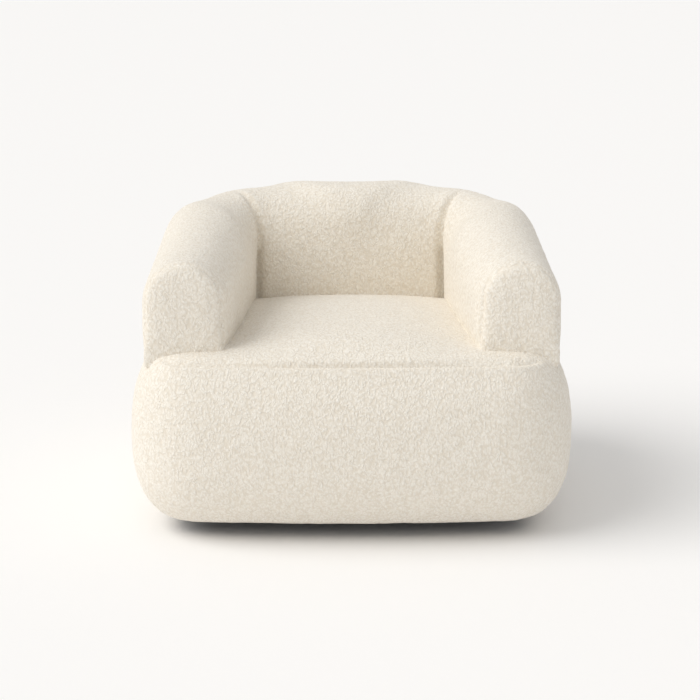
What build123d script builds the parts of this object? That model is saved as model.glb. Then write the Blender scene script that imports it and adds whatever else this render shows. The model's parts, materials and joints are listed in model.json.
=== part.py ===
"""Upholstered armchair: a fabric-covered base block with a padded horseshoe of arms and back standing on it.

The origin is on the floor under the middle of the base, +Z is up and the front of the chair faces -Y. Every plan
curve is the base's outline moved inwards, so an "inset" is always a distance inside that outline.
"""

import os
from math import sqrt

from build123d import *

# Overall sizes
WIDTH = 1000.0
DEPTH = 920.0
FLOOR_GAP = 30.0  # from the floor to the underside of the base
DECK_Z = 424.0  # flat top of the base, where the arms and back stand
ARM_FRONT_Z = 622.0  # top of the arm at its front end
BACK_Z = 705.0  # top of the back, half way through its thickness
FABRIC = 2.5  # outer cover with its lining

# Plan of the base
FRONT_BOW = 30.0  # how far the front bows out at its middle
FRONT_CORNER_R = 150.0
REAR_CORNER_R = 300.0
MIN_CORNER_R = 10.0

# Section of the padding round the base
BAND_DEPTH = 98.0
BELLY_R = 450.0
BELLY_Z = 200.0  # height at which the base is widest
SHOULDER_R = 60.0
HEM_R = 55.0
TOP_SEAM_Z = 408.0  # seam between the front border and the seat cover

# Arms and back
WALL_INSET = 42.0
WALL_FOOT_Z = 370.0  # lower than the line where the outer wall meets the base's shoulder
ARM_FRONT_Y = -340.0
INNER_FRONT_X = 283.0
INNER_BACK_X = 238.0
INNER_BACK_Y = 220.0
INNER_CORNER_R = 25.0
CREST_R = 84.0
FACING_R = 14.0
CREST_Y = (INNER_BACK_Y + DEPTH / 2 - WALL_INSET) / 2
SLOPE = (BACK_Z - ARM_FRONT_Z) / (CREST_Y - ARM_FRONT_Y)

# Wooden frame
PLY = 18.0
BOARD = 3.0
RING_WIDTH = 70.0
POST = 50.0
FRAME_INSET = BAND_DEPTH + BOARD
LOWER_PLY_Z = 33.0
UPPER_PLY_Z = 290.0
SILL_Z = UPPER_PLY_Z + PLY
SILL_TOP_Z = SILL_Z + PLY
CREST_PAD = 78.0  # foam above the top rail
TOP_RAIL = 25.0
POST_FRONT_Y = -290.0
LINER = 4.0  # webbing and boards on the inner side of the posts
SPACE_END = FRAME_INSET + POST + LINER
SIDE_BEAM_X = WIDTH / 2 - FRAME_INSET - POST / 2
REAR_BEAM_Y = DEPTH / 2 - FRAME_INSET - POST / 2
FRONT_BEAM_Y = -330.0

# Suspension
SPRING_WIRE_R = 2.0
SPRING_XS = (-225.0, -135.0, -45.0, 45.0, 135.0, 225.0)
SPRING_HALF_WIDTH = 26.0
SPRING_FRONT_Y = -296.0
SPRING_REAR_Y = 294.0
SPRING_RUNGS = 26
SPRING_ARCH = 28.0
SPRING_Z = SILL_Z + 3.5
TIE_WIRE_R = 1.5
TIE_WIRE_YS = (-110.0, 110.0)
FELT = 4.0
FELT_LENGTH = 580.0
POCKET_X = 270.0
POCKET_FRONT_Y = -305.0
POCKET_REAR_Y = 310.0
POCKET_TOP_Z = SPRING_Z + SPRING_ARCH + SPRING_WIRE_R + 0.5 + FELT

# Crown of the seat
CROWN = 27.0
CROWN_REACH = 250.0
CROWN_Y = -80.0
CROWN_BALL = (CROWN_REACH**2 + CROWN**2) / (2 * CROWN)

# Cuts between the pieces of the base's padding
CUT_FRONT_Y = -280.0
CUT_REAR_Y = 160.0

# Feet and fasteners
FOOT_EDGE_R = 2.0
FOOT_R = 22.5
FOOT_TOP_R = 26.0
FOOT_X = 250.0
FOOT_FRONT_Y = -245.0
FOOT_REAR_Y = 245.0
BLOCK = 76.0  # side of the block over each foot, and width of the runner over both blocks
RUNNER_REACH = 320.0
LINING = 1.0
FOOT_TOP_Z = LOWER_PLY_Z - LINING
SCREW_R = 3.0
SCREW_HEAD_R = 6.0
SCREW_HEAD_Z = 12.0
SCREW_TIP_Z = 48.0
CLEARANCE = 0.4
BOLT_R = 4.0
BOLT_HEAD_R = 7.5
BOLT_HEAD = 6.0
TEE_NUT_R = 11.0
TEE_BARREL_R = 5.5
TEE_FLANGE = 2.0
BOLT_SPOTS = [(side * SIDE_BEAM_X, y) for side in (-1, 1) for y in (-200.0, 60.0)]
BOLT_SPOTS += [(side * 60.0, REAR_BEAM_Y) for side in (-1, 1)]

SIDES = {"left": -1, "right": 1}
FAR = 2000.0
FOOT_SPOTS = {
    f"{row}_{name}": (side * FOOT_X, y)
    for row, y in (("front", FOOT_FRONT_Y), ("rear", FOOT_REAR_Y))
    for name, side in SIDES.items()
}

os.makedirs("parts", exist_ok=True)


def keep(piece, name):
    """Labels a finished piece and writes it as a STEP file of its own."""
    piece.part.label = name
    export_step(piece.part, f"parts/{name}.step")


def base_outline(inset):
    """The base seen from above, moved inwards."""
    bow_r = ((WIDTH / 2) ** 2 + FRONT_BOW**2) / (2 * FRONT_BOW)
    bow_centre_y = bow_r - DEPTH / 2
    half = WIDTH / 2 - inset
    rear = DEPTH / 2 - inset
    corner_y = bow_centre_y - sqrt((bow_r - inset) ** 2 - half**2)
    with BuildSketch() as face:
        with BuildLine():
            ThreePointArc((-half, corner_y), (0, inset - DEPTH / 2), (half, corner_y))
            Polyline((half, corner_y), (half, rear), (-half, rear), (-half, corner_y))
        make_face()
        fillet(face.vertices().group_by(Axis.Y)[0], max(FRONT_CORNER_R - inset, MIN_CORNER_R))
        fillet(face.vertices().group_by(Axis.Y)[-1], REAR_CORNER_R - inset)
    return face.sketch


def horseshoe_outline(inset, front_y):
    """The sides and rear of the base's outline, moved inwards and cut square at front_y."""
    rear = DEPTH / 2 - inset
    with BuildSketch() as face:
        with Locations((0, (front_y + rear) / 2)):
            Rectangle(WIDTH - 2 * inset, rear - front_y)
        fillet(face.vertices().group_by(Axis.Y)[-1], REAR_CORNER_R - inset)
    return face.sketch


def crest_plane(depth):
    """The slanting plane of the arm and back tops, lowered by depth."""
    return Plane(origin=(0, CREST_Y, BACK_Z - depth), x_dir=(1, 0, 0), z_dir=(0, -SLOPE, 1))


def corner_plane(side):
    """Upright plane of the seam in an inner corner, facing the arm on that side."""
    return Plane(origin=(side * INNER_BACK_X, INNER_BACK_Y, 0), z_dir=(side, -1, 0))


def band_section(skin):
    """Section of the padding round the base, as distance inwards and height, shrunk by skin."""
    with BuildSketch() as face:
        with Locations((BELLY_R, BELLY_Z)):
            Circle(BELLY_R - skin)
        with Locations((0, FLOOR_GAP + skin)):
            Rectangle(
                BAND_DEPTH,
                DECK_Z - FLOOR_GAP - 2 * skin,
                align=(Align.MIN, Align.MIN),
                mode=Mode.INTERSECT,
            )
        bulge = face.edges().filter_by(GeomType.CIRCLE)[0]
        fillet(bulge.vertices().sort_by(Axis.Y)[-1], SHOULDER_R - skin)
        bulge = face.edges().filter_by(GeomType.CIRCLE).sort_by(SortBy.LENGTH)[-1]
        fillet(bulge.vertices().sort_by(Axis.Y)[0], HEM_R - skin)
    return face.sketch


def swept_band(section):
    """A section carried once round the base's outline."""
    rim = base_outline(0).face().outer_wire()
    inwards = Vector(0, 0, 1).cross(rim % 0)
    with BuildPart() as band:
        with BuildSketch(Plane(origin=rim @ 0, x_dir=inwards, z_dir=rim % 0)):
            add(section)
        sweep(path=rim)
    return band.part


def crown_cap(skin):
    """The low dome of the seat, above the flat foam."""
    with BuildPart() as cap:
        with Locations((0, CROWN_Y, DECK_Z - FABRIC + CROWN - CROWN_BALL)):
            Sphere(CROWN_BALL + skin)
        split(bisect_by=Plane.XY.offset(DECK_Z - FABRIC), keep=Keep.TOP)
    return cap.part


def on_plane(edge, plane):
    """Whether an edge lies in a plane."""
    spots = (edge @ 0, edge @ 0.5, edge @ 1)
    return all(abs(plane.to_local_coords(spot).Z) < 0.01 for spot in spots)


def padded_horseshoe(skin):
    """Arms and back as one rounded body, shrunk by skin."""
    front = Plane(origin=(0, ARM_FRONT_Y + skin, 0), z_dir=(0, -1, 0))
    top = crest_plane(skin)
    with BuildSketch() as seat_space:
        with BuildLine():
            reach = (INNER_FRONT_X - INNER_BACK_X) / (INNER_BACK_Y - ARM_FRONT_Y)
            wide = INNER_FRONT_X + reach * (FAR + ARM_FRONT_Y)
            Polyline(
                (-wide, -FAR), (-INNER_BACK_X, INNER_BACK_Y), (INNER_BACK_X, INNER_BACK_Y), (wide, -FAR),
                close=True,
            )
        make_face()
        fillet(seat_space.vertices().group_by(Axis.Y)[-1], INNER_CORNER_R)
        if skin:
            offset(amount=skin)
    with BuildPart() as body:
        with BuildSketch(Plane.XY.offset(WALL_FOOT_Z)):
            add(horseshoe_outline(WALL_INSET + skin, ARM_FRONT_Y + skin))
            add(seat_space.sketch, mode=Mode.SUBTRACT)
        extrude(amount=BACK_Z)
        split(bisect_by=top, keep=Keep.BOTTOM)
        rims = body.edges().filter_by(lambda e: on_plane(e, top) and not on_plane(e, front))
        fillet(rims, CREST_R - skin)
        facing = body.edges().filter_by(lambda e: on_plane(e, front) and (e @ 0.5).Z > WALL_FOOT_Z + 1)
        fillet(facing, FACING_R - skin)
    return body.part


def frame_space():
    """The hollow in the padding that the frame of the arms and back stands in."""
    with BuildPart() as space:
        with BuildSketch(Plane.XY.offset(SILL_Z)):
            add(horseshoe_outline(BAND_DEPTH, POST_FRONT_Y))
            add(horseshoe_outline(SPACE_END, POST_FRONT_Y - 1), mode=Mode.SUBTRACT)
        extrude(amount=FAR)
        split(bisect_by=crest_plane(CREST_PAD), keep=Keep.BOTTOM)
    return space.part


def prism(face, low, high):
    """A plan face carried up from low to high."""
    with BuildPart() as block:
        with BuildSketch(Plane.XY.offset(low)):
            add(face)
        extrude(amount=high - low)
    return block.part


def in_horseshoe(outer, inner, low, top_depth, windows=None):
    """A strip of the horseshoe between two insets, from low up to the crest plane lowered by top_depth."""
    with BuildPart() as strip:
        with BuildSketch(Plane.XY.offset(low)):
            add(horseshoe_outline(outer, POST_FRONT_Y))
            add(horseshoe_outline(inner, POST_FRONT_Y - 1), mode=Mode.SUBTRACT)
            if windows:
                add(windows, mode=Mode.INTERSECT)
        extrude(amount=FAR)
        split(bisect_by=crest_plane(top_depth), keep=Keep.BOTTOM)
    return strip


def windows_at(spots, width, depth, turn=0):
    """Rectangles seen from above, one at each spot, turned outwards by turn on each side."""
    with BuildSketch() as face:
        for x, y in spots:
            angle = turn if x > 0 else -turn
            with Locations(Location((x, y, 0), (0, 0, angle))):
                Rectangle(width, depth)
    return face.sketch


# Frame of the base
with BuildPart() as base_bottom_frame:
    with BuildSketch(Plane.XY.offset(LOWER_PLY_Z)):
        add(base_outline(FRAME_INSET))
        add(base_outline(FRAME_INSET + RING_WIDTH), mode=Mode.SUBTRACT)
    extrude(amount=PLY)
keep(base_bottom_frame, "base_bottom_frame")

with BuildPart() as foot_blocks:
    with BuildSketch(Plane.XY.offset(LOWER_PLY_Z)):
        with Locations(*FOOT_SPOTS.values()):
            Rectangle(BLOCK, BLOCK)
            Circle(SCREW_R + CLEARANCE, mode=Mode.SUBTRACT)
        add(base_outline(FRAME_INSET + RING_WIDTH + CLEARANCE), mode=Mode.INTERSECT)
    extrude(amount=PLY)
keep(foot_blocks, "foot_blocks")

with BuildPart() as foot_runners:
    with BuildSketch(Plane.XY.offset(LOWER_PLY_Z + PLY)):
        with Locations((-FOOT_X, 0), (FOOT_X, 0)):
            Rectangle(BLOCK, 2 * RUNNER_REACH)
    extrude(amount=PLY)
keep(foot_runners, "foot_runners")

with BuildPart() as base_seat_frame:
    with BuildSketch(Plane.XY.offset(UPPER_PLY_Z)):
        add(base_outline(FRAME_INSET))
        add(base_outline(FRAME_INSET + RING_WIDTH), mode=Mode.SUBTRACT)
        with Locations(*BOLT_SPOTS):
            Circle(BOLT_R + CLEARANCE, mode=Mode.SUBTRACT)
    extrude(amount=PLY)
keep(base_seat_frame, "base_seat_frame")

BASE_POST_SPOTS = [(side * SIDE_BEAM_X, y) for side in (-1, 1) for y in (-100.0, 130.0)]
BASE_POST_SPOTS += [(side * 150.0, y) for side in (-1, 1) for y in (FRONT_BEAM_Y, REAR_BEAM_Y)]
with BuildPart() as base_posts:
    with BuildSketch(Plane.XY.offset(LOWER_PLY_Z + PLY)):
        with Locations(*BASE_POST_SPOTS):
            Rectangle(POST - 4, POST - 4)
    extrude(amount=UPPER_PLY_Z - LOWER_PLY_Z - PLY)
keep(base_posts, "base_posts")

with BuildPart() as base_wrap_board:
    with BuildSketch(Plane.XY.offset(LOWER_PLY_Z)):
        add(base_outline(BAND_DEPTH))
        add(base_outline(FRAME_INSET), mode=Mode.SUBTRACT)
    extrude(amount=SILL_Z - LOWER_PLY_Z)
keep(base_wrap_board, "base_wrap_board")

# Frame of the arms and back
with BuildPart() as arm_back_sill:
    with BuildSketch(Plane.XY.offset(SILL_Z)):
        add(horseshoe_outline(FRAME_INSET, POST_FRONT_Y))
        add(horseshoe_outline(FRAME_INSET + POST, POST_FRONT_Y - 1), mode=Mode.SUBTRACT)
        with Locations(*BOLT_SPOTS):
            Circle(TEE_BARREL_R, mode=Mode.SUBTRACT)
    extrude(amount=PLY)
keep(arm_back_sill, "arm_back_sill")

with BuildPart() as arm_back_top_rail:
    add(in_horseshoe(FRAME_INSET, FRAME_INSET + POST, SILL_Z, CREST_PAD).part)
    split(bisect_by=crest_plane(CREST_PAD + TOP_RAIL), keep=Keep.TOP)
keep(arm_back_top_rail, "arm_back_top_rail")

CORNER_SPOT_R = REAR_CORNER_R - FRAME_INSET - POST / 2
CORNER_SPOT = CORNER_SPOT_R / sqrt(2)
CORNER_X = WIDTH / 2 - REAR_CORNER_R + CORNER_SPOT
CORNER_Y = DEPTH / 2 - REAR_CORNER_R + CORNER_SPOT
POST_ROWS = {
    "arm_front_posts": ([(side * SIDE_BEAM_X, POST_FRONT_Y + POST / 2) for side in (-1, 1)], 0),
    "arm_middle_posts": ([(side * SIDE_BEAM_X, 0.0) for side in (-1, 1)], 0),
    "corner_posts": ([(side * CORNER_X, CORNER_Y) for side in (-1, 1)], 45),
    "back_posts": ([(side * 150.0, REAR_BEAM_Y) for side in (-1, 1)], 0),
}
for name, (spots, turn) in POST_ROWS.items():
    windows = windows_at(spots, POST + 2, POST + 2, turn)
    keep(
        in_horseshoe(FRAME_INSET, FRAME_INSET + POST, SILL_TOP_Z, CREST_PAD + TOP_RAIL, windows), name
    )

keep(in_horseshoe(BAND_DEPTH, FRAME_INSET, SILL_Z, CREST_PAD), "arm_back_outer_board")

for name, side in SIDES.items():
    windows = windows_at([(side * WIDTH / 4, -100.0)], WIDTH / 2, 500.0)
    keep(
        in_horseshoe(FRAME_INSET + POST, SPACE_END, SILL_Z, CREST_PAD, windows), f"arm_inner_board_{name}"
    )

STRAP = 50.0
STRAP_PITCH = 80.0
windows = windows_at([(i * STRAP_PITCH, DEPTH / 4) for i in range(-2, 3)], STRAP, DEPTH / 2)
keep(in_horseshoe(FRAME_INSET + POST, SPACE_END, SILL_Z, CREST_PAD, windows), "back_webbing")

# Suspension of the seat
SPRING_MIDDLE_Y = (SPRING_FRONT_Y + SPRING_REAR_Y) / 2
SPRING_HALF = (SPRING_REAR_Y - SPRING_FRONT_Y) / 2


def arch_z(y):
    """Height of the springs' wire, which bows up between the front and rear rails."""
    return SPRING_Z + SPRING_ARCH * (1 - ((y - SPRING_MIDDLE_Y) / SPRING_HALF) ** 2)


def spring_path(x):
    """Zigzag of one sinuous spring: a rung to each side in turn, from the front rail to the rear one."""
    points = []
    for i in range(SPRING_RUNGS + 1):
        y = SPRING_FRONT_Y + (SPRING_REAR_Y - SPRING_FRONT_Y) * i / SPRING_RUNGS
        near, far = (-1, 1) if i % 2 else (1, -1)
        points += [(x + near * SPRING_HALF_WIDTH, y, arch_z(y)), (x + far * SPRING_HALF_WIDTH, y, arch_z(y))]
    return points


with BuildPart() as seat_springs:
    for x in SPRING_XS:
        with BuildLine() as wire:
            Polyline(*spring_path(x))
        with BuildSketch(Plane(origin=wire.line @ 0, z_dir=wire.line % 0)):
            Circle(SPRING_WIRE_R)
        sweep(path=wire.line, transition=Transition.ROUND)
keep(seat_springs, "seat_springs")

with BuildPart() as spring_tie_wires:
    for y in TIE_WIRE_YS:
        height = arch_z(y) - SPRING_WIRE_R - TIE_WIRE_R - CLEARANCE - 1
        with BuildSketch(Plane(origin=(-POCKET_X + 5, y, height), z_dir=(1, 0, 0))):
            Circle(TIE_WIRE_R)
        extrude(amount=2 * POCKET_X - 10)
keep(spring_tie_wires, "spring_tie_wires")

CLIP_SPOTS = [(x, y) for x in SPRING_XS for y in (SPRING_FRONT_Y, SPRING_REAR_Y)]
with BuildPart() as spring_clips:
    with Locations(*[(x, y, SILL_Z) for x, y in CLIP_SPOTS]):
        Box(24, 9, 8, align=(Align.CENTER, Align.CENTER, Align.MIN))
    with Locations(*[(x, y, SPRING_Z) for x, y in CLIP_SPOTS]):
        Box(30, 2 * (SPRING_WIRE_R + CLEARANCE), 2 * (SPRING_WIRE_R + CLEARANCE), mode=Mode.SUBTRACT)
keep(spring_clips, "spring_clips")

with BuildPart() as seat_felt:
    with BuildSketch(Plane.XY.offset(POCKET_TOP_Z - FELT)):
        Rectangle(2 * POCKET_X - 10, FELT_LENGTH)
    extrude(amount=FELT)
keep(seat_felt, "seat_felt")

# Solids that several soft pieces are cut from
base_solid = prism(base_outline(BAND_DEPTH), FLOOR_GAP, DECK_Z)
base_skin = swept_band(band_section(0))
base_core = swept_band(band_section(FABRIC))
outer_horseshoe = padded_horseshoe(0)
inner_horseshoe = padded_horseshoe(FABRIC)
hollow = frame_space()
seat_side = prism(horseshoe_outline(SPACE_END, -FAR), 0, FAR)

# Padding of the base, a long piece on each side
FOAM_CUTS = {"front": (-FAR, CUT_FRONT_Y), "rear": (CUT_REAR_Y, FAR)}
for name, (near_y, far_y) in FOAM_CUTS.items():
    with BuildPart() as base_foam:
        add(base_core)
        split(bisect_by=Plane(origin=(0, near_y, 0), z_dir=(0, 1, 0)), keep=Keep.TOP)
        split(bisect_by=Plane(origin=(0, far_y, 0), z_dir=(0, 1, 0)), keep=Keep.BOTTOM)
    keep(base_foam, f"base_foam_{name}")

for name, side in SIDES.items():
    with BuildPart() as base_foam:
        add(base_core)
        split(bisect_by=Plane(origin=(0, CUT_FRONT_Y, 0), z_dir=(0, 1, 0)), keep=Keep.TOP)
        split(bisect_by=Plane(origin=(0, CUT_REAR_Y, 0), z_dir=(0, 1, 0)), keep=Keep.BOTTOM)
        split(bisect_by=Plane(origin=(0, 0, 0), z_dir=(side, 0, 0)), keep=Keep.TOP)
    keep(base_foam, f"base_foam_{name}")

# Seat
with BuildPart() as seat_foam:
    with BuildSketch(Plane.XY.offset(SILL_Z)):
        add(base_outline(BAND_DEPTH))
    extrude(amount=DECK_Z - FABRIC - SILL_Z)
    add(crown_cap(0))
    add(hollow, mode=Mode.SUBTRACT)
    with BuildSketch(Plane.XY.offset(SILL_Z)):
        with Locations((0, (POCKET_FRONT_Y + POCKET_REAR_Y) / 2)):
            Rectangle(2 * POCKET_X, POCKET_REAR_Y - POCKET_FRONT_Y)
    extrude(amount=POCKET_TOP_Z - SILL_Z, mode=Mode.SUBTRACT)
keep(seat_foam, "seat_foam")

with BuildPart() as seat_cover:
    add(base_skin)
    split(bisect_by=Plane.XY.offset(TOP_SEAM_Z), keep=Keep.TOP)
    split(bisect_by=Plane(origin=(0, ARM_FRONT_Y, 0), z_dir=(0, 1, 0)), keep=Keep.BOTTOM)
    add(base_core, mode=Mode.SUBTRACT)
    with BuildSketch(Plane.XY.offset(DECK_Z - FABRIC)):
        add(base_outline(BAND_DEPTH))
    extrude(amount=FABRIC)
    add(crown_cap(FABRIC))
    add(crown_cap(0), mode=Mode.SUBTRACT)
    add(hollow, mode=Mode.SUBTRACT)
keep(seat_cover, "seat_cover")

# Border of the base: one length round the front and sides, and one round the back
with BuildPart() as border_front:
    add(base_skin)
    add(base_core, mode=Mode.SUBTRACT)
    split(bisect_by=Plane(origin=(0, CUT_REAR_Y, 0), z_dir=(0, 1, 0)), keep=Keep.BOTTOM)
    with BuildSketch(Plane.XY.offset(TOP_SEAM_Z)):
        with Locations((0, ARM_FRONT_Y)):
            Rectangle(FAR, FAR, align=(Align.CENTER, Align.MAX))
    extrude(amount=DECK_Z, mode=Mode.SUBTRACT)
keep(border_front, "border_front")

with BuildPart() as border_rear:
    add(base_skin)
    add(base_core, mode=Mode.SUBTRACT)
    split(bisect_by=Plane(origin=(0, CUT_REAR_Y, 0), z_dir=(0, 1, 0)), keep=Keep.TOP)
keep(border_rear, "border_rear")

# Padding of the arms and back, a slab on each side of the frame
with BuildPart() as padding:
    add(inner_horseshoe)
    add(hollow, mode=Mode.SUBTRACT)
    add(base_solid, mode=Mode.SUBTRACT)
    add(base_skin, mode=Mode.SUBTRACT)

SLABS = {"inner": Mode.INTERSECT, "outer": Mode.SUBTRACT}
for name, mode in SLABS.items():
    with BuildPart() as back_foam:
        add(padding.part)
        add(seat_side, mode=mode)
        for side in SIDES.values():
            split(bisect_by=corner_plane(side), keep=Keep.BOTTOM)
    keep(back_foam, f"back_foam_{name}")
    for side_name, side in SIDES.items():
        with BuildPart() as arm_foam:
            add(padding.part)
            add(seat_side, mode=mode)
            split(bisect_by=corner_plane(side), keep=Keep.TOP)
            split(bisect_by=Plane(origin=(0, 0, 0), z_dir=(side, 0, 0)), keep=Keep.TOP)
        keep(arm_foam, f"arm_foam_{side_name}_{name}")

# Covers of the arms and back
facing_line = Plane(origin=(0, ARM_FRONT_Y + FACING_R, 0), z_dir=(0, 1, 0))
with BuildPart() as covering:
    add(outer_horseshoe)
    add(inner_horseshoe, mode=Mode.SUBTRACT)
    add(base_solid, mode=Mode.SUBTRACT)
    add(base_skin, mode=Mode.SUBTRACT)

with BuildPart() as back_cover:
    add(covering.part)
    for side in SIDES.values():
        split(bisect_by=corner_plane(side), keep=Keep.BOTTOM)
keep(back_cover, "back_cover")

for name, side in SIDES.items():
    with BuildPart() as arm_cover:
        add(covering.part)
        split(bisect_by=Plane(origin=(0, 0, 0), z_dir=(side, 0, 0)), keep=Keep.TOP)
        split(bisect_by=corner_plane(side), keep=Keep.TOP)
        split(bisect_by=facing_line, keep=Keep.TOP)
    keep(arm_cover, f"arm_cover_{name}")
    with BuildPart() as arm_facing:
        add(covering.part)
        split(bisect_by=Plane(origin=(0, 0, 0), z_dir=(side, 0, 0)), keep=Keep.TOP)
        split(bisect_by=facing_line, keep=Keep.BOTTOM)
    keep(arm_facing, f"arm_facing_{name}")

# Underside, feet and fasteners
with BuildPart() as dust_cover:
    with BuildSketch(Plane.XY.offset(FOOT_TOP_Z)):
        add(base_outline(BAND_DEPTH + LINING))
        with Locations(*FOOT_SPOTS.values()):
            Circle(SCREW_R + CLEARANCE, mode=Mode.SUBTRACT)
    extrude(amount=LINING)
keep(dust_cover, "dust_cover")

for name, (x, y) in FOOT_SPOTS.items():
    with BuildPart() as foot:
        with BuildSketch(Plane.XZ.offset(-y)):
            with BuildLine():
                Polyline((x, 0), (x + FOOT_R, 0), (x + FOOT_TOP_R, FOOT_TOP_Z), (x, FOOT_TOP_Z), close=True)
            make_face()
        revolve(axis=Axis((x, y, 0), (0, 0, 1)))
        fillet(foot.edges().filter_by(GeomType.CIRCLE), FOOT_EDGE_R)
        with Locations((x, y, SCREW_HEAD_Z)):
            Cylinder(SCREW_HEAD_R + 1, FAR, align=(Align.CENTER, Align.CENTER, Align.MAX), mode=Mode.SUBTRACT)
            Cylinder(SCREW_R + CLEARANCE, FAR, mode=Mode.SUBTRACT)
    keep(foot, f"foot_{name}")

with BuildPart() as foot_screws:
    for x, y in FOOT_SPOTS.values():
        with Locations((x, y, SCREW_HEAD_Z)):
            Cylinder(SCREW_R, SCREW_TIP_Z - SCREW_HEAD_Z, align=(Align.CENTER, Align.CENTER, Align.MIN))
            Cylinder(SCREW_HEAD_R, SCREW_R, align=(Align.CENTER, Align.CENTER, Align.MAX))
keep(foot_screws, "foot_screws")

with BuildPart() as frame_bolts:
    for x, y in BOLT_SPOTS:
        with Locations((x, y, UPPER_PLY_Z)):
            Cylinder(BOLT_R - 0.1, 2 * PLY, align=(Align.CENTER, Align.CENTER, Align.MIN))
            Cylinder(BOLT_HEAD_R, BOLT_HEAD, align=(Align.CENTER, Align.CENTER, Align.MAX))
keep(frame_bolts, "frame_bolts")

with BuildPart() as tee_nuts:
    for x, y in BOLT_SPOTS:
        with Locations((x, y, SILL_TOP_Z)):
            Cylinder(TEE_BARREL_R, PLY / 2, align=(Align.CENTER, Align.CENTER, Align.MAX))
            Cylinder(TEE_NUT_R, TEE_FLANGE, align=(Align.CENTER, Align.CENTER, Align.MIN))
        with Locations((x, y, SILL_TOP_Z)):
            Cylinder(BOLT_R, 2 * PLY, mode=Mode.SUBTRACT)
keep(tee_nuts, "tee_nuts")
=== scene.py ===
import json
from math import cos, pi, radians, sin

import bmesh
import bpy
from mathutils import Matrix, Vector, noise


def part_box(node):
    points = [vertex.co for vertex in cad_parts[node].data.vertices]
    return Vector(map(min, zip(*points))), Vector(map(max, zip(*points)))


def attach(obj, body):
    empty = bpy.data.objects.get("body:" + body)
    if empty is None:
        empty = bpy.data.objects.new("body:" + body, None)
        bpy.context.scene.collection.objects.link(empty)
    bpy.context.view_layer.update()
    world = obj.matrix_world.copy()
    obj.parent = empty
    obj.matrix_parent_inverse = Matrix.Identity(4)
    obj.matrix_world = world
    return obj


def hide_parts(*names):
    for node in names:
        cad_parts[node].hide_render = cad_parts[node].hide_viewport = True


bl_info = {
    "name": "Upholstered Armchair",
    "version": (1, 0, 0),
    "blender": (4, 5, 0),
    "location": "View3D > Sidebar > Armchair",
    "description": "Pads, covers and finishes of a rounded armchair around its packed frame",
    "category": "Object",
}

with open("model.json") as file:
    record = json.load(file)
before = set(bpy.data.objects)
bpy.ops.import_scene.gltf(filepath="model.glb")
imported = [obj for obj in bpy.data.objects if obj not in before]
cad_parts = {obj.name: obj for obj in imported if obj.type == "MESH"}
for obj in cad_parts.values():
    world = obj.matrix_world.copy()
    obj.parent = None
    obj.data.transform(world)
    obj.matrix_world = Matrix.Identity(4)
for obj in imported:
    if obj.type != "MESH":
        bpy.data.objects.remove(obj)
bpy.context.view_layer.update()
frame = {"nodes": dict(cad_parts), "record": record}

BASE_LOW, BASE_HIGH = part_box("border_front")
REAR_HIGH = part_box("border_rear")[1]
FACING_LOW, FACING_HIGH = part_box("arm_facing_right")
BACK_LOW, BACK_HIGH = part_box("back_cover")
SEAT_LOW, SEAT_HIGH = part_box("seat_cover")
MM = 0.001

ARM_FRONT = FACING_LOW[1]
OUTER_HALF = FACING_HIGH[0]
INNER_FRONT_HALF = FACING_LOW[0]
BACK_REAR = BACK_HIGH[1]
DECK = SEAT_LOW[2] + 16 * MM  # the seat cover starts at its front seam, 16 mm under the flat top
SEAM_HEIGHT = SEAT_LOW[2]


class ChairShape(bpy.types.PropertyGroup):
    """Sizes of the padding that a user would change"""

    belly_height: bpy.props.FloatProperty(
        name="Belly Height", description="Height at which the base is widest", default=0.2, unit="LENGTH"
    )
    fullness: bpy.props.FloatProperty(
        name="Fullness", description="How square the section of the base is", default=2.5, min=2.0, max=6.0
    )
    crown: bpy.props.FloatProperty(
        name="Seat Crown", description="Rise of the seat's middle", default=0.036, unit="LENGTH"
    )
    roll: bpy.props.FloatProperty(
        name="Roll Height", description="Height of the rounded top of arms and back", default=0.1, unit="LENGTH"
    )
    back_belly: bpy.props.FloatProperty(
        name="Back Belly", description="How far the inside back swells forward", default=0.014, unit="LENGTH"
    )
    seam_depth: bpy.props.FloatProperty(
        name="Seam Depth", description="How deep a sewn seam pulls in", default=0.011, unit="LENGTH"
    )
    swell: bpy.props.FloatProperty(
        name="Swell", description="Most that the stuffing pushes a cover out", default=0.006, unit="LENGTH"
    )


class ChairColours(bpy.types.PropertyGroup):
    """Colours of the finishes, and of the painted shade between the fabric's loops, that a user would change, as
    sRGB hex
    """

    loop: bpy.props.StringProperty(name="Loop", description="Crests of the fabric's loops", default="FBF6EC")
    # Painted shade: this colour is the fabric's cream darkened to stand in for the shade that falls between the
    # loops.
    loop_valley_shade: bpy.props.StringProperty(name="Ground", description="Between the loops", default="EAE1D2")
    floor: bpy.props.StringProperty(name="Floor", description="Studio floor", default="FCFBFA")


def linear(code):
    """An sRGB hex colour as linear RGBA."""
    parts = [int(code[i : i + 2], 16) / 255 for i in (0, 2, 4)]
    return [c / 12.92 if c <= 0.04045 else ((c + 0.055) / 1.055) ** 2.4 for c in parts] + [1.0]


def ease(low, high, x):
    """0 below low, 1 above high, and a smooth step between; low may be the larger."""
    t = min(1.0, max(0.0, (x - low) / (high - low)))
    return t * t * (3 - 2 * t)


def power(x, exponent):
    """x to a power, keeping its sign."""
    return abs(x) ** exponent * (1 if x >= 0 else -1)


# Materials


def add_node(tree, kind, links=(), **settings):
    """Adds a node, sets its properties and sockets, and links (output, input name) pairs to it."""
    node = tree.nodes.new(kind)
    for key, value in settings.items():
        if hasattr(node, key):
            setattr(node, key, value)
        else:
            node.inputs[key.replace("_", " ")].default_value = value
    for output, name in links:
        tree.links.new(output, node.inputs[name])
    return node


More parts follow.
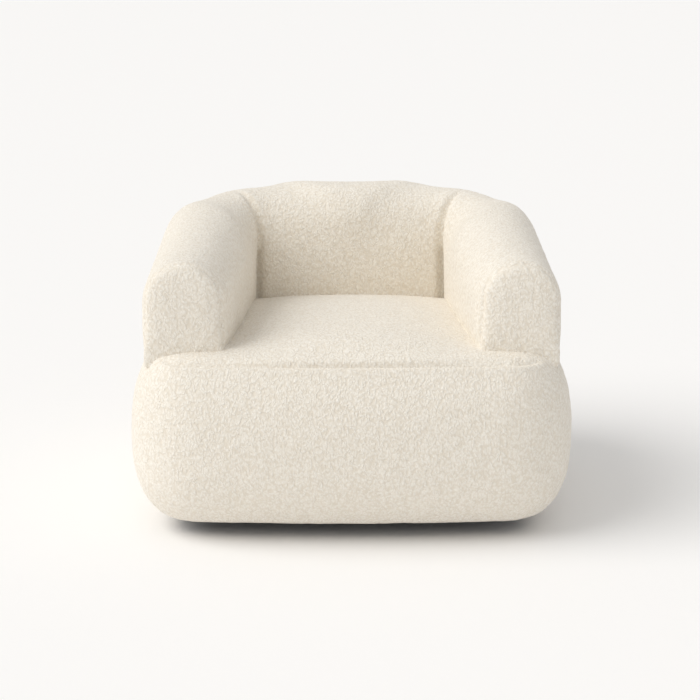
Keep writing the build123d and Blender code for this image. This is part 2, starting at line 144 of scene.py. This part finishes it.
def new_material(name, **settings):
    """A material with a Principled shader: returns the material, its tree, the shader and object coordinates."""
    material = bpy.data.materials.new(name)
    material.use_nodes = True
    tree = material.node_tree
    shader = tree.nodes["Principled BSDF"]
    for key, value in settings.items():
        shader.inputs[key.replace("_", " ")].default_value = value
    return material, tree, shader, add_node(tree, "ShaderNodeTexCoord").outputs["Object"]


def ramp(tree, fac, dark, light, low=0.3, high=0.7):
    """A two-colour ramp driven by fac."""
    node = add_node(tree, "ShaderNodeValToRGB", [(fac, "Fac")])
    node.color_ramp.elements[0].position = low
    node.color_ramp.elements[0].color = linear(dark)
    node.color_ramp.elements[1].position = high
    node.color_ramp.elements[1].color = linear(light)
    return node.outputs["Color"]


def boucle(colours):
    """Looped-pile fabric, woven with curled yarn: matt and nubbly, with warm shade painted into the colour between
    the curls.
    """
    material, tree, shader, place = new_material(
        "woven_boucle", Roughness=0.95, Sheen_Weight=0.25, Sheen_Roughness=0.6, Specular_IOR_Level=0.15
    )
    loops_per_metre = 1 / (5.0 * MM)
    stretch = add_node(tree, "ShaderNodeMapping", [(place, "Vector")], Scale=(1.0, 1.0, 0.75))
    wander = add_node(tree, "ShaderNodeTexNoise", [(stretch.outputs[0], "Vector")], Scale=90.0, Detail=3.0)
    bent = add_node(
        tree, "ShaderNodeMixRGB", [(stretch.outputs[0], "Color1"), (wander.outputs["Color"], "Color2")],
        blend_type="LINEAR_LIGHT", Fac=0.006,
    )
    curls = add_node(
        tree, "ShaderNodeTexVoronoi", [(bent.outputs[0], "Vector")],
        feature="SMOOTH_F1", Scale=loops_per_metre, Smoothness=0.6,
    )
    crest = add_node(
        tree, "ShaderNodeMath", [(curls.outputs["Distance"], 1)], operation="SUBTRACT"
    )
    crest.inputs[0].default_value = 1.0
    yarn = add_node(tree, "ShaderNodeTexNoise", [(bent.outputs[0], "Vector")], Scale=420.0, Detail=2.0)
    height = add_node(
        tree, "ShaderNodeMath", [(yarn.outputs["Fac"], 0), (crest.outputs[0], 2)], operation="MULTIPLY_ADD"
    )
    height.inputs[1].default_value = 0.5
    drift = add_node(tree, "ShaderNodeTexNoise", [(place, "Vector")], Scale=60.0, Detail=3.0)
    mixed = add_node(
        tree, "ShaderNodeMath", [(drift.outputs["Fac"], 0), (height.outputs[0], 2)], operation="MULTIPLY_ADD"
    )
    mixed.inputs[1].default_value = 0.12
    spread = add_node(tree, "ShaderNodeMapRange", [(mixed.outputs[0], "Value")])
    spread.inputs["From Min"].default_value = 0.5
    spread.inputs["From Max"].default_value = 1.4
    # Painted shade: the low places between the curls take the darker colour, standing in for the shade in the pile's
    # hollows, and the crests take the loop colour.
    colour = ramp(tree, spread.outputs[0], colours.loop_valley_shade, colours.loop, 0.1, 0.75)
    bump = add_node(tree, "ShaderNodeBump", [(height.outputs[0], "Height")], Strength=0.9, Distance=2.2 * MM)
    tree.links.new(colour, shader.inputs["Base Color"])
    tree.links.new(bump.outputs[0], shader.inputs["Normal"])
    return material


def grained(name, dark, light, scale, stretch, depth, **settings):
    """A material coloured by stretched noise, with the same noise as relief."""
    material, tree, shader, place = new_material(name, **settings)
    turned = add_node(tree, "ShaderNodeMapping", [(place, "Vector")], Scale=stretch)
    grain = add_node(
        tree, "ShaderNodeTexNoise", [(turned.outputs[0], "Vector")], Scale=scale, Detail=5.0, Distortion=0.4
    )
    bump = add_node(tree, "ShaderNodeBump", [(grain.outputs["Fac"], "Height")], Strength=0.5, Distance=depth)
    tree.links.new(ramp(tree, grain.outputs["Fac"], dark, light), shader.inputs["Base Color"])
    tree.links.new(bump.outputs[0], shader.inputs["Normal"])
    return material


def frame_finishes():
    """The finish of each of the record's slots that the CAD pieces keep."""
    along = (1.0, 1.0, 12.0)
    return {
        # Rotary-cut birch: pale, with long low-contrast figure
        "plywood": grained("sawn_birch_plywood", "B98F5C", "DDBE8C", 9.0, along, 0.3 * MM, Roughness=0.7),
        # Planed pine: yellow, with clear growth lines along the post
        "pine": grained("planed_pine", "B98A4E", "E2C08A", 30.0, (1.0, 1.0, 0.06), 0.3 * MM, Roughness=0.6),
        # Pressed fibreboard: brown, finely mottled
        "hardboard": grained("pressed_hardboard", "5A3C22", "7A5534", 260.0, (1, 1, 1), 0.1 * MM, Roughness=0.55),
        # Oiled spring wire: dark metal with faint drawing lines
        "spring_steel": grained(
            "oiled_spring_wire", "4A4A4C", "6A6A6C", 500.0, (1, 0.1, 1), 0.02 * MM, Metallic=1.0, Roughness=0.4
        ),
        # Bright zinc: pale metal with cloudy spangle
        "zinc_plate": grained(
            "bright_zinc_plate", "B4B7BA", "D0D3D6", 180.0, (1, 1, 1), 0.02 * MM, Metallic=1.0, Roughness=0.3
        ),
        # Needled felt: grey, hairy, without direction
        "felt": grained("needled_felt", "78736C", "A09A92", 420.0, (1, 1, 1), 0.6 * MM, Roughness=1.0),
        # Elastic webbing: black warp ribs along the strap
        "webbing": grained("woven_webbing", "18181A", "3A3A3D", 300.0, (1, 1, 0.05), 0.4 * MM, Roughness=0.9),
        # Spun-bonded lining: thin black cloth with a melted dot pattern
        "black_lining": grained("spun_bonded_lining", "0C0C0D", "1C1C1E", 500.0, (1, 1, 1), 0.2 * MM, Roughness=0.9),
        # Moulded polypropylene: black, faintly textured by spark erosion
        "black_polypropylene": grained(
            "moulded_polypropylene", "0D0D0E", "151517", 900.0, (1, 1, 1), 0.06 * MM, Roughness=0.45
        ),
    }


# Meshes


def shaped_grid(name, columns, rows, place):
    """A sheet of quads wrapped into a closed body: place(u, v) gives each point, with u and v from 0 to 1."""
    bm = bmesh.new()
    bmesh.ops.create_grid(bm, x_segments=columns, y_segments=rows, size=0.5)
    for vert in bm.verts:
        vert.co = place(min(1.0, max(0.0, vert.co.x + 0.5)), min(1.0, max(0.0, vert.co.y + 0.5)))
    bmesh.ops.remove_doubles(bm, verts=bm.verts, dist=0.1 * MM)
    bmesh.ops.dissolve_degenerate(bm, edges=bm.edges, dist=0.01 * MM)
    bmesh.ops.holes_fill(bm, edges=bm.edges, sides=0)
    bmesh.ops.recalc_face_normals(bm, faces=bm.faces)
    mesh = bpy.data.meshes.new(name)
    bm.to_mesh(mesh)
    bm.free()
    piece = bpy.data.objects.new(name, mesh)
    bpy.context.scene.collection.objects.link(piece)
    return piece


def apply_modifiers(piece):
    """Replaces a piece's mesh with what its modifiers make of it."""
    graph = bpy.context.evaluated_depsgraph_get()
    mesh = bpy.data.meshes.new_from_object(piece.evaluated_get(graph))
    piece.modifiers.clear()
    piece.data = mesh


def swell(piece, pinned, limit):
    """Fills a closed cover by cloth simulation, holding it where pinned(point) is true."""
    before = [v.co.copy() for v in piece.data.vertices]
    group = piece.vertex_groups.new(name="sewn_down")
    group.add([v.index for v in piece.data.vertices if pinned(v.co)], 1.0, "REPLACE")
    cloth = piece.modifiers.new("Cloth", "CLOTH")
    cloth.settings.vertex_group_mass = group.name
    cloth.settings.use_pressure = True
    cloth.settings.uniform_pressure_force = 4.0
    cloth.settings.effector_weights.gravity = 0.0
    cloth.settings.quality = 5
    cloth.point_cache.frame_end = 20
    for step in range(1, 21):
        bpy.context.scene.frame_set(step)
    apply_modifiers(piece)
    bpy.context.scene.frame_set(1)
    for vert, start in zip(piece.data.vertices, before):
        move = vert.co - start
        if move.length > limit:
            vert.co = start + move.normalized() * limit
    piece.vertex_groups.clear()
    soften(piece, lambda p: not pinned(p), 14)


def soften(piece, chosen, rounds):
    """Rounds off the part of a piece where chosen(point) is true."""
    bm = bmesh.new()
    bm.from_mesh(piece.data)
    verts = [v for v in bm.verts if chosen(v.co)]
    for _ in range(rounds):
        bmesh.ops.smooth_vert(bm, verts=verts, factor=0.5, use_axis_x=True, use_axis_y=True, use_axis_z=True)
    bm.to_mesh(piece.data)
    bm.free()


def finer(piece, levels):
    """Subdivides a piece for good."""
    subdivision = piece.modifiers.new("Subdivision", "SUBSURF")
    subdivision.levels = levels
    subdivision.render_levels = levels
    apply_modifiers(piece)


def dress(piece, seam):
    """Pulls the seams in by seam(point) along the surface, and gives the pile its uneven nap."""
    piece.data.update()
    normals = [v.normal.copy() for v in piece.data.vertices]
    for vert, normal in zip(piece.data.vertices, normals):
        lumps = noise.noise(vert.co * 22.0) * 0.9 * MM + noise.noise(vert.co * 75.0) * 0.7 * MM
        vert.co += normal * (lumps - seam(vert.co))


def pulled(distance, depth, width):
    """Profile of a sewn seam: a narrow valley between two soft shoulders."""
    near = distance / width
    return depth * (2.718 ** -(near * near) - 0.3 * 2.718 ** -(near * near / 9))


def cut_pad(source, name, planes):
    """The part of a body behind each (point, normal) plane, as a closed piece of its own."""
    bm = bmesh.new()
    bm.from_mesh(source.data)
    for point, normal in planes:
        everything = bm.verts[:] + bm.edges[:] + bm.faces[:]
        cut = bmesh.ops.bisect_plane(bm, geom=everything, plane_co=point, plane_no=normal, clear_outer=True)
        rim = [e for e in cut["geom_cut"] if isinstance(e, bmesh.types.BMEdge)]
        bmesh.ops.holes_fill(bm, edges=rim, sides=0)
        for edge in rim:
            edge.smooth = False
    for face in bm.faces:
        face.smooth = True
    mesh = bpy.data.meshes.new(name)
    bm.to_mesh(mesh)
    bm.free()
    piece = bpy.data.objects.new(name, mesh)
    bpy.context.scene.collection.objects.link(piece)
    return piece


def finish_pad(piece, nodes):
    """Covers a padded piece, hangs it on the root body and hides the CAD parts that it stands for."""
    piece.data.materials.append(bpy.data.materials["woven_boucle"])
    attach(piece, "root")
    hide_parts(*nodes)


def remove(piece):
    """Deletes a working piece."""
    bpy.data.objects.remove(piece)


# Plan of the base: front, right side, rear and left side, with a bowed front

FRONT_R = 0.15
REAR_R = 0.29
BOW = 0.03


def base_plan(u):
    """Point and outward direction on the base's outline; u runs once round it from the middle of the rear."""
    half = BASE_HIGH[0]
    depth = REAR_HIGH[1] - BASE_LOW[1]
    runs = [half - REAR_R, REAR_R * pi / 2, depth - REAR_R - FRONT_R, FRONT_R * pi / 2, half - FRONT_R]
    side = 1 if u < 0.5 else -1
    left = (1 - abs(2 * u - 1)) * sum(runs)
    stage = 0
    while stage < 4 and left > runs[stage]:
        left -= runs[stage]
        stage += 1
    rear, front = REAR_HIGH[1], BASE_LOW[1]
    if stage == 0:
        point, out = (left, rear), (0.0, 1.0)
    elif stage == 1:
        a = pi / 2 - left / REAR_R
        out = (cos(a), sin(a))
        point = (half - REAR_R + REAR_R * out[0], rear - REAR_R + REAR_R * out[1])
    elif stage == 2:
        point, out = (half, rear - REAR_R - left), (1.0, 0.0)
    elif stage == 3:
        a = -left / FRONT_R
        out = (cos(a), sin(a))
        point = (half - FRONT_R + FRONT_R * out[0], front + FRONT_R + FRONT_R * out[1])
    else:
        point, out = (half - FRONT_R - left, front), (0.0, -1.0)
    bowed = BOW * (point[0] / half) ** 2 * ease(0.1, -0.25, point[1])
    return Vector((side * point[0], point[1] + bowed, 0)), Vector((side * out[0], out[1], 0))


class CHAIR_OT_base(bpy.types.Operator):
    """Makes the padded base: its border and the seat panel that is sewn to it"""

    bl_idname = "chair.base"
    bl_label = "Base and Seat"

    def execute(self, context):
        shape = context.scene.chair_shape
        floor_gap = BASE_LOW[2] + 3 * MM
        hem, shoulder = 0.115, 0.1
        side_share = 0.55

        def seat_rise(x, y):
            across = 1 - min(1.0, abs(x) / 0.29) ** 2.2
            along = 1 - abs(min(1.0, max(-1.0, (y + 0.1) / 0.34))) ** 2.5
            dip = 13 * MM * ease(0.34, 0.26, abs(x)) * ease(-0.42, -0.28, y)
            sag = 10 * MM * ease(-0.05, 0.2, y) * across
            return shape.crown * across * along - dip * (1 - across) - sag

        def place(u, v):
            point, out = base_plan(u)
            if v > side_share:
                shrink = 1 - (v - side_share) / (1 - side_share)
                spot = (point - out * shoulder) * shrink
                return Vector((spot.x, spot.y, DECK + seat_rise(spot.x, spot.y)))
            turn = (v / side_share - 0.5) * pi
            upper = turn > 0
            inset = (shoulder if upper else hem) * (1 - power(cos(turn), 2 / shape.fullness))
            reach = DECK - shape.belly_height if upper else shape.belly_height - floor_gap
            spot = point - out * (inset + 2 * MM)
            return Vector((spot.x, spot.y, shape.belly_height + reach * power(sin(turn), 2 / shape.fullness)))

        body = shaped_grid("base_body", 200, 90, place)
        swell(body, lambda p: p.z < floor_gap + 0.02 or abs(p.z - SEAM_HEIGHT) < 5 * MM, shape.swell)
        finer(body, 1)

        def seam(p):
            front = ease(0.46, 0.38, abs(p.x)) * ease(-0.32, -0.38, p.y)
            return front * pulled(abs(p.z - SEAM_HEIGHT), shape.seam_depth, 4.5 * MM)

        dress(body, seam)
        level = Vector((0, 0, SEAM_HEIGHT))
        border = cut_pad(body, "base_border", [(level, Vector((0, 0, 1)))])
        seat = cut_pad(body, "seat_top", [(level, Vector((0, 0, -1)))])
        foams = [f"base_foam_{side}" for side in ("front", "rear", "left", "right")]
        finish_pad(border, ["border_front", "border_rear", *foams])
        finish_pad(seat, ["seat_cover", "seat_foam"])
        remove(body)
        return {"FINISHED"}


# Plan of the arms and back

CORNER_R = 0.29
INNER_BACK_HALF = 0.238
INNER_BACK_Y = 0.22
OUTER_FOOT_Z = 0.385
INNER_FOOT_Z = 0.395
ARM_TOP = FACING_HIGH[2]
BACK_TOP = BACK_HIGH[2]


def outer_wall(back, f):
    """Point on the outside of the arms and back: f runs along the arm, or on round the back to its middle."""
    cx = OUTER_HALF - CORNER_R
    cy = BACK_REAR - CORNER_R
    eighth = CORNER_R * pi / 4
    if back:
        left = f * (eighth + cx)
        turn = pi / 4 + left / CORNER_R
        if left > eighth:
            return Vector((cx + eighth - left, BACK_REAR, 0))
    else:
        left = f * (cy - ARM_FRONT + eighth)
        turn = (left - cy + ARM_FRONT) / CORNER_R
        if turn < 0:
            return Vector((OUTER_HALF, ARM_FRONT + left, 0))
    return Vector((cx + CORNER_R * cos(turn), cy + CORNER_R * sin(turn), 0))


def inner_wall(back, f, belly):
    """Point on the inside of the arms and back, opposite outer_wall."""
    if back:
        x = INNER_BACK_HALF * (1 - f)
        return Vector((x, INNER_BACK_Y - belly * (1 - (1 - f) ** 3), 0))
    front = Vector((INNER_FRONT_HALF, ARM_FRONT, 0))
    rear = Vector((INNER_BACK_HALF, INNER_BACK_Y, 0))
    return front.lerp(rear, f) - Vector((0.5 * belly * sin(pi * f), 0, 0))


class CHAIR_OT_horseshoe(bpy.types.Operator):
    """Makes the padded arms and back, sewn together in the inner corners"""

    bl_idname = "chair.horseshoe"
    bl_label = "Arms and Back"

    def execute(self, context):
        shape = context.scene.chair_shape
        cap = 0.09
        arm_share = 0.56
        facing_depth = 16 * MM
        legs = 0.28
        crest_y = (INNER_BACK_Y + BACK_REAR) / 2

        def place(u, v):
            side = -1 if u < 0.5 else 1
            t = 1 - abs(2 * u - 1)
            turn = min(1.0, t / cap) * pi / 2
            shrink = power(sin(turn), 0.4)
            along = max(0.0, (t - cap) / (1 - cap))
            back = along > arm_share
            f = (along - arm_share) / (1 - arm_share) if back else along / arm_share
            outer = outer_wall(back, f)
            inner = inner_wall(back, f, shape.back_belly)
            middle_y = (outer.y + inner.y) / 2
            top = ARM_TOP + (BACK_TOP - ARM_TOP) * min(1.0, (middle_y - ARM_FRONT) / (crest_y - ARM_FRONT))
            roll = min(shape.roll, (outer - inner).length / 2)
            spring = top - roll
            if v < legs:
                across, height = 0.0, OUTER_FOOT_Z + (spring - OUTER_FOOT_Z) * v / legs
            elif v < 0.85 - legs + 0.1:
                angle = (v - legs) / (0.95 - 2 * legs) * pi
                across = 0.5 - 0.5 * power(cos(angle), 2 / 2.1)
                height = spring + roll * power(sin(angle), 2 / 2.1)
            elif v < 0.95:
                across = 1.0
                height = spring + (INNER_FOOT_Z - spring) * (v - 0.95 + legs) / legs
            else:
                across = (1 - v) / 0.05
                height = OUTER_FOOT_Z + (INNER_FOOT_Z - OUTER_FOOT_Z) * across
            across = 0.5 + (across - 0.5) * shrink
            height = OUTER_FOOT_Z + (height - OUTER_FOOT_Z) * shrink
            spot = outer.lerp(inner, across)
            dome = facing_depth * (1 - power(cos(turn), 0.4)) if t < cap else facing_depth
            return Vector((side * spot.x, spot.y + dome * ease(0.1, 0.0, along), height))

        body = shaped_grid("horseshoe_body", 230, 72, place)
        corner = Vector((INNER_BACK_HALF, INNER_BACK_Y, 0))
        diagonal = Vector((1, 1, 0)).normalized()
        square = Vector((1, -1, 0)).normalized()
        rim_y = ARM_FRONT + 15 * MM

        def from_corner(p):
            offset = Vector((abs(p.x), p.y, 0)) - corner
            return abs(offset.dot(square)), offset.dot(diagonal)

        def pinned(p):
            aside, outwards = from_corner(p)
            return p.z < DECK + 5 * MM or (aside < 6 * MM and outwards < 0.03)

        soften(body, lambda p: p.z > 0.53 and from_corner(p)[0] < 0.14, 120)
        swell(body, pinned, shape.swell)
        finer(body, 1)

        def seam(p):
            aside, outwards = from_corner(p)
            valley = ease(0.08, 0.0, outwards) * pulled(aside, 1.4 * shape.seam_depth, 9 * MM)
            edge = pulled(abs(p.y - rim_y), 0.45 * shape.seam_depth, 4.5 * MM)
            return valley + edge

        dress(body, seam)
        right = (corner, square)
        left = (Vector((-corner.x, corner.y, 0)), Vector((-square.x, square.y, 0)))
        middle = Vector((0, 0, 0))
        back = cut_pad(body, "back_pad", [right, left])
        finish_pad(back, ["back_cover", "back_foam_inner", "back_foam_outer"])
        for name, (point, normal), aside in (("right", right, -1), ("left", left, 1)):
            planes = [(middle, Vector((aside, 0, 0))), (point, -normal)]
            arm = cut_pad(body, f"arm_pad_{name}", planes)
            covers = [f"arm_cover_{name}", f"arm_facing_{name}"]
            finish_pad(arm, [*covers, f"arm_foam_{name}_inner", f"arm_foam_{name}_outer"])
        remove(body)
        return {"FINISHED"}


class CHAIR_OT_finishes(bpy.types.Operator):
    """Gives the cover cloth, and each piece of the frame, its finish"""

    bl_idname = "chair.finishes"
    bl_label = "Finishes"

    def execute(self, context):
        boucle(context.scene.chair_colours)
        finishes = frame_finishes()
        slots = {entry["node"]: entry["material_slot"] for entry in frame["record"]["subparts"]}
        for name, node in frame["nodes"].items():
            material = finishes.get(slots[name], bpy.data.materials["woven_boucle"])
            node.data.materials.clear()
            node.data.materials.append(material)
        return {"FINISHED"}


class CHAIR_OT_stage(bpy.types.Operator):
    """Lays the pale floor and sets the light and the camera"""

    bl_idname = "chair.stage"
    bl_label = "Stage"

    def execute(self, context):
        scene = context.scene
        bm = bmesh.new()
        bmesh.ops.create_grid(bm, x_segments=8, y_segments=8, size=60.0)
        mesh = bpy.data.meshes.new("studio_floor")
        bm.to_mesh(mesh)
        bm.free()
        floor = bpy.data.objects.new("studio_floor", mesh)
        scene.collection.objects.link(floor)
        pale = scene.chair_colours.floor
        mesh.materials.append(grained("painted_floor", pale, pale, 3.0, (1, 1, 1), 0.05 * MM, Roughness=0.9))
        world = bpy.data.worlds.new("studio_air")
        scene.world = world
        world.use_nodes = True
        world.node_tree.nodes["Background"].inputs["Color"].default_value = (1.0, 1.0, 1.0, 1.0)
        world.node_tree.nodes["Background"].inputs["Strength"].default_value = 0.6
        sun = bpy.data.lights.new("soft_key", "SUN")
        sun.energy = 1.75
        sun.angle = radians(48)
        sun.color = (1.0, 0.985, 0.96)
        key = bpy.data.objects.new("soft_key", sun)
        key.rotation_euler = Vector((0.68, 0.17, -0.68)).to_track_quat("-Z", "Y").to_euler()
        scene.collection.objects.link(key)
        lens = bpy.data.cameras.new("front_view")
        lens.lens = 82.9
        lens.shift_y = 4 / 700
        camera = bpy.data.objects.new("front_view", lens)
        camera.location = (-0.03, -3.76, 1.32)
        target = Vector((-0.003, -0.16, 0.37))
        camera.rotation_euler = (target - camera.location).to_track_quat("-Z", "Y").to_euler()
        scene.collection.objects.link(camera)
        scene.camera = camera
        scene.view_settings.view_transform = "Standard"
        return {"FINISHED"}


class CHAIR_PT_panel(bpy.types.Panel):
    """Sidebar panel of the armchair"""

    bl_label = "Armchair"
    bl_idname = "CHAIR_PT_panel"
    bl_space_type = "VIEW_3D"
    bl_region_type = "UI"
    bl_category = "Armchair"

    def draw(self, context):
        for group in (context.scene.chair_shape, context.scene.chair_colours):
            for name in group.__annotations__:
                self.layout.prop(group, name)
        for operator in OPERATORS:
            self.layout.operator(operator.bl_idname)


OPERATORS = (CHAIR_OT_stage, CHAIR_OT_finishes, CHAIR_OT_base, CHAIR_OT_horseshoe)
CLASSES = (ChairShape, ChairColours, *OPERATORS, CHAIR_PT_panel)


def register():
    for item in CLASSES:
        bpy.utils.register_class(item)
    bpy.types.Scene.chair_shape = bpy.props.PointerProperty(type=ChairShape)
    bpy.types.Scene.chair_colours = bpy.props.PointerProperty(type=ChairColours)


def unregister():
    del bpy.types.Scene.chair_colours
    del bpy.types.Scene.chair_shape
    for item in reversed(CLASSES):
        bpy.utils.unregister_class(item)


def main():
    register()
    bpy.ops.chair.stage()
    bpy.ops.chair.finishes()
    bpy.ops.chair.base()
    bpy.ops.chair.horseshoe()


if __name__ == "__main__":
    main()
